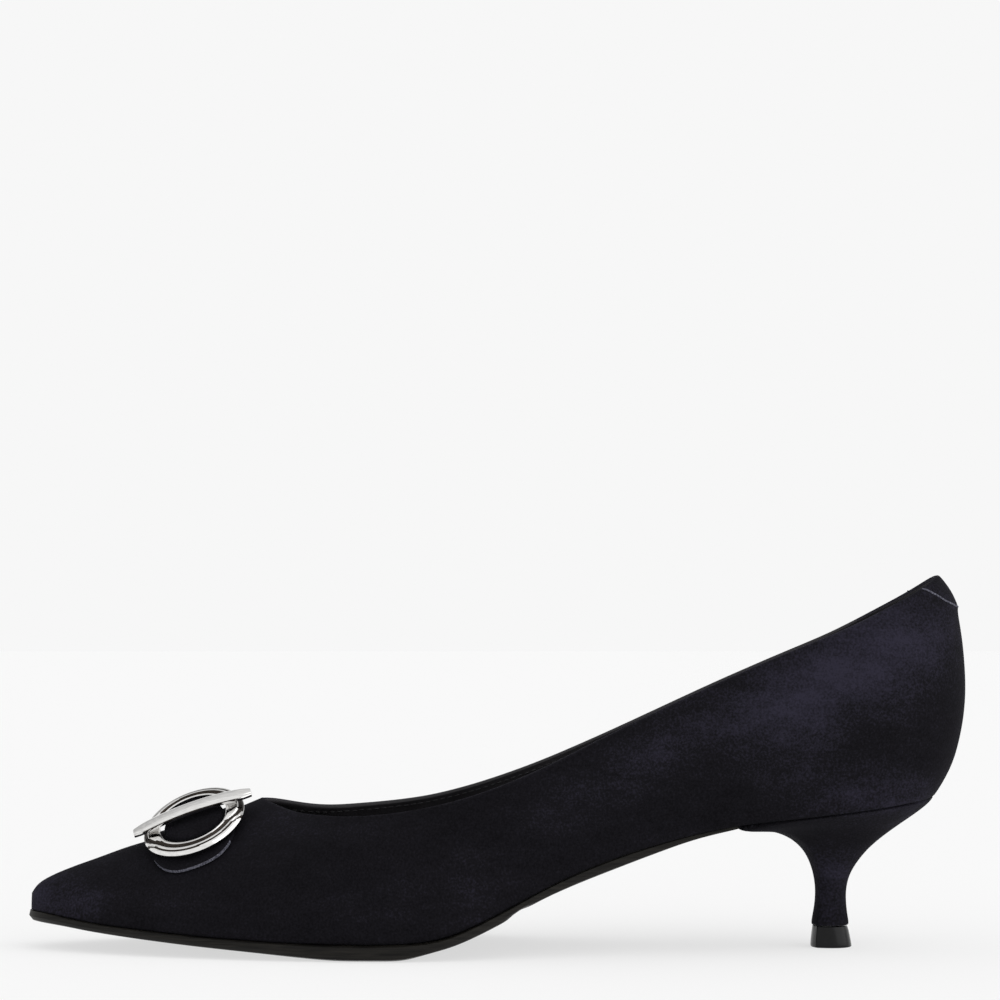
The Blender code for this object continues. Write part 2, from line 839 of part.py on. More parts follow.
def ring_profile(angle):
    """The ring's section at an angle: layered at the sides, a wide inner rim beside the bar."""
    ahead = abs(math.remainder(angle, math.tau))
    behind = abs(math.remainder(angle - math.pi, math.tau))
    web = min(max(WEB_SPREAD * (1 - min(ahead, behind) / WEB_ANGLE), 0.0), 1.0)
    section = []
    for radius, height, web_radius, web_height in RING_SECTION:
        radius += (web_radius - radius) * web
        height += (web_height - height) * web
        section.append((radius, height))
    return section


def build_ring(material, base):
    """The ring with its layered face."""
    along, across, up = ornament_axes()
    sections = []
    for turn in range(RING_STEPS):
        angle = math.tau * turn / RING_STEPS
        out = along * math.cos(angle) + across * math.sin(angle)
        section = []
        for radius, height in ring_profile(angle):
            section.append(base + out * radius + up * height)
        sections.append(section)
    points, faces = loft(sections + [sections[0]])
    return make_body("ornament_ring", points, faces, material, METAL_SMOOTH_ANGLE)


def build_bar(material, base):
    """The arched bar over the ring, longer than the ring is wide."""
    along, across, up = ornament_axes()
    sections = []
    for step in range(BAR_STEPS + 1):
        place = -1 + 2 * step / BAR_STEPS
        past = max(abs(place) - BAR_NARROW_START, 0) / (1 - BAR_NARROW_START)
        half = BAR_WIDTH / 2 * (1 - (1 - BAR_END_WIDTH) * past)
        rise = BAR_END_HEIGHT + BAR_ARCH * (1 - place**2)
        middle = base + along * (BAR_SHIFT + BAR_LENGTH / 2 * place) + across * BAR_ACROSS
        section = []
        for wide, high in BAR_SECTION:
            section.append(middle + across * half * wide + up * (rise + BAR_THICKNESS * high))
        sections.append(section)
    points, faces = loft(sections)
    size = len(sections[0])
    faces += [list(range(size)), list(range(len(points) - size, len(points)))]
    return make_body("ornament_bar", points, faces, material, METAL_SMOOTH_ANGLE)


def clear_scene():
    for item in list(bpy.data.objects):
        bpy.data.objects.remove(item, do_unlink=True)


def build():
    """Each piece with its own material."""
    clear_scene()
    build_upper(make_material("suede", (0.012, 0.011, 0.020), 0.9))
    build_insole(make_material("sock_leather", (0.02, 0.018, 0.018), 0.6))
    build_outsole(make_material("sole_leather", (0.03, 0.028, 0.026), 0.5))
    build_heel(make_material("heel_suede", (0.012, 0.011, 0.020), 0.9))
    build_top_lift(make_material("lift_rubber", (0.012, 0.012, 0.012), 0.45))
    base = ring_base()
    build_pad(make_material("pad_suede", (0.012, 0.011, 0.020), 0.9), base)
    build_ring(make_material("ring_metal", (0.8, 0.8, 0.8), 0.12, 1.0), base)
    build_bar(make_material("bar_metal", (0.8, 0.8, 0.8), 0.12, 1.0), base)


build()
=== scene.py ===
"""Looks of a left kitten-heel pump in brushed navy suede with a ring-and-bar ornament.

X runs from the toe (negative) to the back of the shoe, Y from the outer side (negative) to the
inner side, Z up. Sizes in the classes are in millimetres unless a name says otherwise.
"""

from __future__ import annotations

import logging
import math
from collections.abc import Callable
from dataclasses import dataclass, field
from enum import Enum

import bmesh
import bpy
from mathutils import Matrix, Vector
from mathutils.bvhtree import BVHTree
from mathutils.kdtree import KDTree


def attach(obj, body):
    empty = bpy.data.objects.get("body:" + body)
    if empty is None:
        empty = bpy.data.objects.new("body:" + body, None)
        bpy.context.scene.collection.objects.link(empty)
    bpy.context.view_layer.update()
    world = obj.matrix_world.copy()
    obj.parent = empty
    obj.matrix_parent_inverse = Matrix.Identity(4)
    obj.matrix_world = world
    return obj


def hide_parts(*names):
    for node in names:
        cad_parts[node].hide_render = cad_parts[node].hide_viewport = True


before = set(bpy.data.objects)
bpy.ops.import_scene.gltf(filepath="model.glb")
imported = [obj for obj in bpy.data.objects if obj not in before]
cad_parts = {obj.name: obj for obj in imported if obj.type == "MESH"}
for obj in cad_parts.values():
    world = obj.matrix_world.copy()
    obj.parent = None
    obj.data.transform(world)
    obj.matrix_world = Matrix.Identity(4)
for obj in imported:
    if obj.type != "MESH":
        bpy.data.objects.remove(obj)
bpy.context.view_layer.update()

MM = 0.001
MERGE_DISTANCE = 2e-6
QUAD_FACE_ANGLE = math.radians(50)
QUAD_SHAPE_ANGLE = math.radians(60)
UPWARD = 0.3
CREASE_END_SHARE = 0.08
PATH_SMOOTH_ANGLE = 60.0
log = logging.getLogger("pump")


# Colour and nodes


def linear(code: str) -> tuple[float, float, float, float]:
    """Turns an sRGB hex colour into linear RGBA.

    Args:
        code: a colour such as "#1a1923".

    Returns:
        Linear red, green, blue and an alpha of 1.
    """
    parts = [int(code[place : place + 2], 16) / 255 for place in (1, 3, 5)]
    red, green, blue = (
        part / 12.92 if part <= 0.04045 else ((part + 0.055) / 1.055) ** 2.4 for part in parts
    )
    return (red, green, blue, 1.0)


def add_node(
    tree: bpy.types.NodeTree,
    kind: str,
    settings: dict[str, object] | None = None,
    sockets: dict[str | int, object] | None = None,
) -> bpy.types.Node:
    """Adds a node with its settings, input values and links.

    Args:
        tree: the node tree.
        kind: the node's type name.
        settings: attributes of the node.
        sockets: input name or number to a value, or to the output socket that feeds it.

    Returns:
        The new node.
    """
    node = tree.nodes.new(kind)
    for name, value in (settings or {}).items():
        setattr(node, name, value)
    for name, value in (sockets or {}).items():
        if isinstance(value, bpy.types.NodeSocket):
            tree.links.new(value, node.inputs[name])
        else:
            node.inputs[name].default_value = value
    return node


def grain_scale(size_mm: float) -> float:
    """The noise scale that gives features of a size in millimetres."""
    return 1.0 / (size_mm * MM)


def set_ramp(node: bpy.types.Node, stops: tuple[tuple[float, str], ...]) -> None:
    """Sets the stops of a colour ramp.

    Args:
        node: the ramp.
        stops: place and sRGB hex colour of each stop, in order.
    """
    ramp = node.color_ramp
    while len(ramp.elements) < len(stops):
        ramp.elements.new(1.0)
    for element, (place, code) in zip(ramp.elements, stops):
        element.position = place
        element.color = linear(code)


def start_material(name: str) -> tuple[bpy.types.Material, bpy.types.NodeTree, bpy.types.Node]:
    """Makes an empty material.

    Args:
        name: the material's name.

    Returns:
        The material, its node tree and its Principled shader.
    """
    material = bpy.data.materials.new(name)
    material.use_nodes = True
    tree = material.node_tree
    return material, tree, tree.nodes["Principled BSDF"]


def object_place(tree: bpy.types.NodeTree) -> bpy.types.NodeSocket:
    """The socket with the place on the shoe, in metres."""
    return add_node(tree, "ShaderNodeTexCoord").outputs["Object"]


def add_noise(
    tree: bpy.types.NodeTree,
    place: bpy.types.NodeSocket,
    size_mm: float,
    detail: float,
    roughness: float = 0.5,
) -> bpy.types.NodeSocket:
    """Adds a noise with features of a real size.

    Args:
        tree: the node tree.
        place: the socket with the place.
        size_mm: the size of the features in millimetres.
        detail: how many finer layers lie on it.
        roughness: how strong the finer layers are.

    Returns:
        The noise, 0 to 1.
    """
    sockets = {
        "Vector": place,
        "Scale": grain_scale(size_mm),
        "Detail": detail,
        "Roughness": roughness,
    }
    return add_node(tree, "ShaderNodeTexNoise", sockets=sockets).outputs[0]


def add_span(
    tree: bpy.types.NodeTree,
    source: bpy.types.NodeSocket,
    taken: tuple[float, float],
    given: tuple[float, float],
) -> bpy.types.NodeSocket:
    """Maps one range of a value to another, held at both ends.

    Args:
        tree: the node tree.
        source: the socket with the value.
        taken: the range that is read.
        given: the range that it becomes.

    Returns:
        The mapped value.
    """
    sockets = {0: source, 1: taken[0], 2: taken[1], 3: given[0], 4: given[1]}
    return add_node(tree, "ShaderNodeMapRange", sockets=sockets).outputs[0]


def add_maths(
    tree: bpy.types.NodeTree, operation: str, first: object, second: object, held: bool = False
) -> bpy.types.NodeSocket:
    """Adds or multiplies two values.

    Args:
        tree: the node tree.
        operation: the sum, such as "ADD".
        first: a value or its socket.
        second: a value or its socket.
        held: whether the result is held between 0 and 1.

    Returns:
        The result.
    """
    settings = {"operation": operation, "use_clamp": held}
    return add_node(tree, "ShaderNodeMath", settings, {0: first, 1: second}).outputs[0]


def add_ramp(
    tree: bpy.types.NodeTree, source: bpy.types.NodeSocket, stops: tuple[tuple[float, str], ...]
) -> bpy.types.NodeSocket:
    """Turns a value into a colour.

    Args:
        tree: the node tree.
        source: the socket with the value.
        stops: place and sRGB hex colour of each stop, in order.

    Returns:
        The colour.
    """
    ramp = add_node(tree, "ShaderNodeValToRGB", sockets={0: source})
    set_ramp(ramp, stops)
    return ramp.outputs[0]


def add_bump(
    tree: bpy.types.NodeTree, height: bpy.types.NodeSocket, strength: float, depth_mm: float
) -> bpy.types.NodeSocket:
    """Turns a height into a normal.

    Args:
        tree: the node tree.
        height: the socket with the height.
        strength: how much of the bump is used.
        depth_mm: the height of the bump in millimetres.

    Returns:
        The normal.
    """
    sockets = {"Strength": strength, "Distance": depth_mm * MM, "Height": height}
    return add_node(tree, "ShaderNodeBump", sockets=sockets).outputs[0]


# Finishes


@dataclass(frozen=True)
class NapAndLightPatch:
    """A lighter place on the suede: brushed nap, with painted light where the shoe is lit.

    Fields are in shoe millimetres: the middle, the half length and half height, the tilt in
    degrees and how light the patch gets.
    """

    x: float
    y: float
    z: float
    long: float
    high: float
    tilt: float
    strength: float


# lighter patches: brushed nap and painted light together, lightest at the toe tip and round the back,
# where the light falls
SUEDE_PATCHES = (
    NapAndLightPatch(-214.0, -6.0, 13.0, 22.0, 10.0, 0.0, 0.60),
    NapAndLightPatch(-190.0, -20.0, 14.0, 26.0, 6.0, 10.0, 0.10),
    NapAndLightPatch(-140.0, -30.0, 34.0, 34.0, 6.0, 0.0, 0.14),
    NapAndLightPatch(-95.0, -26.0, 18.0, 20.0, 9.0, 20.0, 0.22),
    NapAndLightPatch(-66.0, -26.0, 46.0, 50.0, 12.0, 30.0, 0.20),
    NapAndLightPatch(-12.0, -28.0, 66.0, 30.0, 18.0, 30.0, 0.36),
    NapAndLightPatch(16.0, -24.0, 84.0, 42.0, 24.0, 24.0, 0.52),
    NapAndLightPatch(14.0, -20.0, 42.0, 34.0, 13.0, -6.0, 0.50),
    NapAndLightPatch(-30.0, -26.0, 62.0, 60.0, 12.0, 24.0, 0.20),
    NapAndLightPatch(0.0, -6.0, 22.0, 10.0, 24.0, 0.0, 0.55),
    NapAndLightPatch(-60.0, 26.0, 46.0, 50.0, 14.0, 28.0, 0.35),
    NapAndLightPatch(-140.0, 30.0, 24.0, 34.0, 12.0, 0.0, 0.30),
    NapAndLightPatch(10.0, 24.0, 60.0, 26.0, 20.0, 20.0, 0.35),
)


@dataclass(frozen=True)
class BrushedSuede:
    """Goat suede, dyed and brushed: matt, with cloudy lighter strokes where the nap turns."""

    name: str = "goat_suede_brushed"
    dark: str = "#0c0b0e"
    middle: str = "#151418"
    light: str = "#2b2935"
    # colour of the painted highlight along the topline's folded edge
    fold_highlight: str = "#4a4852"
    sheen_colour: str = "#6a6a86"
    middle_place: float = 0.42
    stroke_mm: float = 11.0
    stroke_tilt: float = 24.0
    stroke_narrowing: tuple[float, float, float] = (1.0, 1.6, 2.6)
    stroke_light: float = 0.28
    cloud_mm: float = 26.0
    cloud_light: float = 0.22
    fibre_mm: float = 0.6
    fibre_light: tuple[float, float] = (-0.2, 0.22)
    tuft_mm: float = 2.4
    tuft_share: float = 0.6
    nap_depth_mm: float = 0.12
    nap_strength: float = 0.55
    patch_reach: float = 1.25
    patch_breaks: tuple[float, float] = (0.8, 1.1)
    patches: tuple[NapAndLightPatch, ...] = SUEDE_PATCHES

    def patch_light(self, tree: bpy.types.NodeTree, place: object) -> object:
        """Adds up the lighter patches: brushed nap and painted light.

        Args:
            tree: the node tree.
            place: the socket with the place on the shoe.

        Returns:
            The socket with the sum.
        """
        total: object = 0.0
        for patch in self.patches:
            centred = add_node(
                tree,
                "ShaderNodeMapping",
                {"vector_type": "TEXTURE"},
                {
                    0: place,
                    "Location": (patch.x * MM, patch.y * MM, patch.z * MM),
                    "Rotation": (0.0, -math.radians(patch.tilt), 0.0),
                    "Scale": (patch.long * MM, patch.long * MM, patch.high * MM),
                },
            )
            away = add_node(
                tree, "ShaderNodeVectorMath", {"operation": "LENGTH"}, {0: centred.outputs[0]}
            )
            soft = add_node(
                tree,
                "ShaderNodeMapRange",
                {"interpolation_type": "SMOOTHSTEP"},
                {0: away.outputs["Value"], 1: 0.0, 2: self.patch_reach, 3: patch.strength, 4: 0.0},
            )
            total = add_maths(tree, "ADD", total, soft.outputs[0])
        return total

    def make(self) -> bpy.types.Material:
        """Builds the suede with its strokes, clouds and nap."""
        material, tree, shader = start_material(self.name)
        place = object_place(tree)
        tilt = (0.0, math.radians(self.stroke_tilt), 0.0)
        stretched = add_node(
            tree,
            "ShaderNodeMapping",
            sockets={0: place, "Rotation": tilt, "Scale": self.stroke_narrowing},
        ).outputs[0]
        strokes = add_noise(tree, stretched, self.stroke_mm, 7.0, 0.7)
        clouds = add_noise(tree, place, self.cloud_mm, 3.0)
        # the real fibre is about 0.1 mm; drawn coarser so that it shows
        fibre = add_noise(tree, place, self.fibre_mm, 3.0)
        tuft = add_noise(tree, place, self.tuft_mm, 4.0)
        # the lighter patches, brushed nap and painted light, broken up by the strokes
        broken = add_span(tree, strokes, (0.3, 0.7), self.patch_breaks)
        value = add_maths(tree, "MULTIPLY", self.patch_light(tree, place), broken)
        drift = add_span(tree, strokes, (0.3, 0.75), (0.0, self.stroke_light))
        value = add_maths(tree, "ADD", value, drift)
        wide = add_span(tree, clouds, (0.35, 0.7), (0.0, self.cloud_light))
        value = add_maths(tree, "ADD", value, wide)
        speck = add_span(tree, fibre, (0.32, 0.68), self.fibre_light)
        value = add_maths(tree, "ADD", value, speck, held=True)
        stops = ((0.0, self.dark), (self.middle_place, self.middle), (1.0, self.light))
        face = add_ramp(tree, value, stops)
        # painted highlight: the lighter colour is mixed in along the topline's folded edge, broken up
        # by the fibres, where the edge catches the light
        fold_highlight = add_node(tree, "ShaderNodeAttribute", {"attribute_name": "fold_highlight"}).outputs["Fac"]
        highlight_fibres = add_span(tree, fibre, (0.3, 0.7), (0.35, 1.0))
        share = add_maths(tree, "MULTIPLY", fold_highlight, highlight_fibres)
        mixed = {0: share, 6: face, 7: linear(self.fold_highlight)}
        colour = add_node(tree, "ShaderNodeMix", {"data_type": "RGBA"}, mixed).outputs[2]
        tree.links.new(colour, shader.inputs["Base Color"])
        raised = {0: tuft, 1: self.tuft_share, 2: fibre}
        nap = add_node(tree, "ShaderNodeMath", {"operation": "MULTIPLY_ADD"}, raised).outputs[0]
        bump = add_bump(tree, nap, self.nap_strength, self.nap_depth_mm)
        tree.links.new(bump, shader.inputs["Normal"])
        shader.inputs["Roughness"].default_value = 0.95
        shader.inputs["Specular IOR Level"].default_value = 0.06
        shader.inputs["Sheen Weight"].default_value = 0.03
        shader.inputs["Sheen Roughness"].default_value = 0.45
        shader.inputs["Sheen Tint"].default_value = linear(self.sheen_colour)
        return material


@dataclass(frozen=True)
class GrainLeather:
    """Dyed leather with a fine grain: small pebbles, a soft gloss and slight colour drift."""

    name: str
    dark: str
    light: str
    roughness: float = 0.5
    specular: float = 0.3
    pebble_mm: float = 0.9
    drift_mm: float = 18.0
    depth_mm: float = 0.06
    gloss_drift: float = 0.08

    def make(self) -> bpy.types.Material:
        """Builds the leather with its pebbled grain."""
        material, tree, shader = start_material(self.name)
        place = object_place(tree)
        cells = {"Vector": place, "Scale": grain_scale(self.pebble_mm)}
        pebbles = add_node(tree, "ShaderNodeTexVoronoi", sockets=cells).outputs[0]
        drift = add_noise(tree, place, self.drift_mm, 5.0)
        colour = add_ramp(tree, drift, ((0.3, self.dark), (0.75, self.light)))
        tree.links.new(colour, shader.inputs["Base Color"])
        gloss = (self.roughness - self.gloss_drift, self.roughness + self.gloss_drift)
        tree.links.new(add_span(tree, drift, (0.3, 0.7), gloss), shader.inputs["Roughness"])
        tree.links.new(add_bump(tree, pebbles, 0.4, self.depth_mm), shader.inputs["Normal"])
        shader.inputs["Specular IOR Level"].default_value = self.specular
        return material


@dataclass(frozen=True)
class PaintedEdge:
    """A leather edge, ground and dressed with black edge paint: fibres show as fine streaks."""

    name: str = "leather_edge_dressed"
    dark: str = "#0e0d0c"
    light: str = "#211f1c"
    layer_mm: float = 0.6
    layer_stretch: tuple[float, float, float] = (0.06, 0.06, 1.0)
    depth_mm: float = 0.05

    def make(self) -> bpy.types.Material:
        """Builds the edge with layers that follow the sole."""
        material, tree, shader = start_material(self.name)
        flat = add_node(
            tree, "ShaderNodeMapping", sockets={0: object_place(tree), "Scale": self.layer_stretch}
        ).outputs[0]
        layers = add_noise(tree, flat, self.layer_mm, 3.0)
        colour = add_ramp(tree, layers, ((0.35, self.dark), (0.7, self.light)))
        tree.links.new(colour, shader.inputs["Base Color"])
        tree.links.new(add_bump(tree, layers, 0.3, self.depth_mm), shader.inputs["Normal"])
        shader.inputs["Roughness"].default_value = 0.5
        shader.inputs["Specular IOR Level"].default_value = 0.12
        return material


@dataclass(frozen=True)
class CutSuedeEdge:
    """The raw cut edge of suede: undyed grey fibres, lighter than the face."""

    name: str
    dark: str = "#3a3a44"
    light: str = "#74747f"
    fibre_mm: float = 0.5
    depth_mm: float = 0.1

    def make(self) -> bpy.types.Material:
        """Builds the edge with its mottled fibres."""
        material, tree, shader = start_material(self.name)
        fibre = add_noise(tree, object_place(tree), self.fibre_mm, 3.0)
        colour = add_ramp(tree, fibre, ((0.35, self.dark), (0.7, self.light)))
        tree.links.new(colour, shader.inputs["Base Color"])
        tree.links.new(add_bump(tree, fibre, 0.5, self.depth_mm), shader.inputs["Normal"])
        shader.inputs["Roughness"].default_value = 0.9
        shader.inputs["Specular IOR Level"].default_value = 0.1
        return material


@dataclass(frozen=True)
class MouldedRubber:
    """A moulded polyurethane lift: black, satin, with a faint moulded grain."""

    name: str = "polyurethane_moulded_black"
    dark: str = "#070708"
    light: str = "#0e0e0f"
    grain_mm: float = 0.6
    depth_mm: float = 0.03

    def make(self) -> bpy.types.Material:
        """Builds the lift's rubber."""
        material, tree, shader = start_material(self.name)
        grain = add_noise(tree, object_place(tree), self.grain_mm, 2.0)
        colour = add_ramp(tree, grain, ((0.3, self.dark), (0.7, self.light)))
        tree.links.new(colour, shader.inputs["Base Color"])
        tree.links.new(add_bump(tree, grain, 0.12, self.depth_mm), shader.inputs["Normal"])
        shader.inputs["Roughness"].default_value = 0.22
        shader.inputs["Specular IOR Level"].default_value = 0.2
        return material


@dataclass(frozen=True)
class PolishedPlate:
    """Die-cast zinc, polished and nickel plated: a mirror with faint polishing lines."""

    name: str = "zinc_polished_nickel_plate"
    dark: str = "#d8d7d6"
    light: str = "#f2f1ef"
    roughness: float = 0.07
    haze_shares: tuple[float, float] = (0.6, 1.6)
    line_mm: float = 0.5
    line_stretch: tuple[float, float, float] = (0.08, 1.0, 1.0)
    depth_mm: float = 0.02

    def make(self) -> bpy.types.Material:
        """Builds the plate with its polishing lines and slight haze."""
        material, tree, shader = start_material(self.name)
        along = add_node(
            tree, "ShaderNodeMapping", sockets={0: object_place(tree), "Scale": self.line_stretch}
        ).outputs[0]
        lines = add_noise(tree, along, self.line_mm, 4.0)
        colour = add_ramp(tree, lines, ((0.3, self.dark), (0.7, self.light)))
        tree.links.new(colour, shader.inputs["Base Color"])
        least, most = self.haze_shares
        haze = (self.roughness * least, self.roughness * most)
        tree.links.new(add_span(tree, lines, (0.3, 0.7), haze), shader.inputs["Roughness"])
        tree.links.new(add_bump(tree, lines, 0.08, self.depth_mm), shader.inputs["Normal"])
        shader.inputs["Metallic"].default_value = 1.0
        return material


@dataclass(frozen=True)
class SpunThread:
    """Spun polyester sewing thread: two plies with a soft gloss."""

    name: str = "polyester_thread_spun"
    dark: str = "#141416"
    light: str = "#262529"
    ply_mm: float = 0.35

    def make(self) -> bpy.types.Material:
        """Builds the thread with its ply bands."""
        material, tree, shader = start_material(self.name)
        ply = add_noise(tree, object_place(tree), self.ply_mm, 2.0)
        colour = add_ramp(tree, ply, ((0.3, self.dark), (0.7, self.light)))
        tree.links.new(colour, shader.inputs["Base Color"])
        shader.inputs["Roughness"].default_value = 0.6
        return material


# Modelling helpers


class Zone(Enum):
    """Where a face of the upper lies."""

    OUTSIDE = 0
    LINING = 1


def only(piece: bpy.types.Object) -> None:
    """Selects and activates one object and nothing else."""
    bpy.ops.object.select_all(action="DESELECT")
    piece.select_set(True)
    bpy.context.view_layer.objects.active = piece


def copied_node(node: str, name: str) -> bpy.types.Object:
    """Copies a CAD node, merges its loose triangles and joins them to quads.

    Args:
        node: the CAD node.
        name: the new piece's name.

    Returns:
        The new piece, at the origin.
    """
    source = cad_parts[node]
    piece = bpy.data.objects.new(name, source.data.copy())
    bpy.context.scene.collection.objects.link(piece)
    piece.data.materials.clear()
    only(piece)
    bpy.ops.mesh.customdata_custom_splitnormals_clear()
    bpy.ops.object.mode_set(mode="EDIT")
    bpy.ops.mesh.select_all(action="SELECT")
    bpy.ops.mesh.remove_doubles(threshold=MERGE_DISTANCE)
    bpy.ops.mesh.tris_convert_to_quads(
        face_threshold=QUAD_FACE_ANGLE, shape_threshold=QUAD_SHAPE_ANGLE
    )
    bpy.ops.object.mode_set(mode="OBJECT")
    return piece


def crease_sharp_edges(piece: bpy.types.Object, angle: float, strength: float) -> None:
    """Creases the edges that turn by more than an angle.

    Args:
        piece: the piece.
        angle: the least turn, in degrees.
        strength: the crease, 0 to 1.
    """
    only(piece)
    bpy.ops.object.mode_set(mode="EDIT")
    bpy.ops.mesh.select_mode(type="EDGE")
    bpy.ops.mesh.select_all(action="DESELECT")
    bpy.ops.mesh.edges_select_sharp(sharpness=math.radians(angle))
    bpy.ops.transform.edge_crease(value=strength)
    bpy.ops.mesh.select_mode(type="FACE")
    bpy.ops.object.mode_set(mode="OBJECT")


def subdivided(piece: bpy.types.Object, levels: int) -> None:
    """Rounds a piece with an applied subdivision surface."""
    only(piece)
    modifier = piece.modifiers.new("round", "SUBSURF")
    modifier.levels = levels
    modifier.render_levels = levels
    bpy.ops.object.modifier_apply(modifier=modifier.name)


def smoothed(piece: bpy.types.Object, angle: float) -> None:
    """Shades a piece smooth, but for edges sharper than an angle in degrees."""
    only(piece)
    bpy.ops.object.shade_smooth_by_angle(angle=math.radians(angle))


@dataclass(frozen=True)
class Rounding:
    """How a piece is rounded: angles in degrees, the crease from 0 to 1, subdivision levels."""

    edge_angle: float
    crease: float
    levels: int
    smooth_angle: float

    def apply(self, piece: bpy.types.Object) -> None:
        """Rounds a piece but for its sharp edges, and shades it."""
        crease_sharp_edges(piece, self.edge_angle, self.crease)
        subdivided(piece, self.levels)
        smoothed(piece, self.smooth_angle)


def surface_tree(piece: bpy.types.Object) -> BVHTree:
    """A tree of a piece's faces, for rays."""
    places = [vertex.co for vertex in piece.data.vertices]
    return BVHTree.FromPolygons(places, [list(face.vertices) for face in piece.data.polygons])


def seat_piece(piece: bpy.types.Object, slot: str, *nodes: str) -> None:
    """Ties a piece to the shoe's body and hides the CAD nodes that it stands for.

    Args:
        piece: the piece.
        slot: the record's material slot, not used.
        nodes: the CAD nodes it replaces.
    """
    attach(piece, "root")
    if nodes:
        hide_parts(*nodes)
    log.info("%s: %d faces", piece.name, len(piece.data.polygons))


@dataclass(frozen=True)
class Crease:
    """A soft trough (positive depth) or ridge (negative) along a line on the shoe, in mm."""

    start: tuple[float, float, float]
    end: tuple[float, float, float]
    width: float
    depth: float


def raise_top(piece: bpy.types.Object, lift: float) -> None:
    """Raises the faces that look up, so that a seam closes to a thin line.

    Args:
        piece: the piece under the seam.
        lift: how far, in millimetres.
    """
    for vertex in piece.data.vertices:
        if vertex.normal.z > UPWARD:
            vertex.co.z += lift * MM


def press_creases(piece: bpy.types.Object, creases: tuple[Crease, ...]) -> None:
    """Moves vertices in or out along their normals near each crease.

    Args:
        piece: the piece.
        creases: the troughs and ridges.
    """
    for crease in creases:
        start, end = Vector(crease.start) * MM, Vector(crease.end) * MM
        line = end - start
        for vertex in piece.data.vertices:
            along = max(0.0, min(1.0, (vertex.co - start).dot(line) / line.length_squared))
            away = (vertex.co - start - line * along).length / (crease.width * MM)
            if away < 1.0:
                fade = math.sin(math.pi * min(max(along, CREASE_END_SHARE), 1 - CREASE_END_SHARE))
                soft = (1 - away * away) ** 2
                vertex.co -= vertex.normal * crease.depth * MM * soft * fade


# The upper


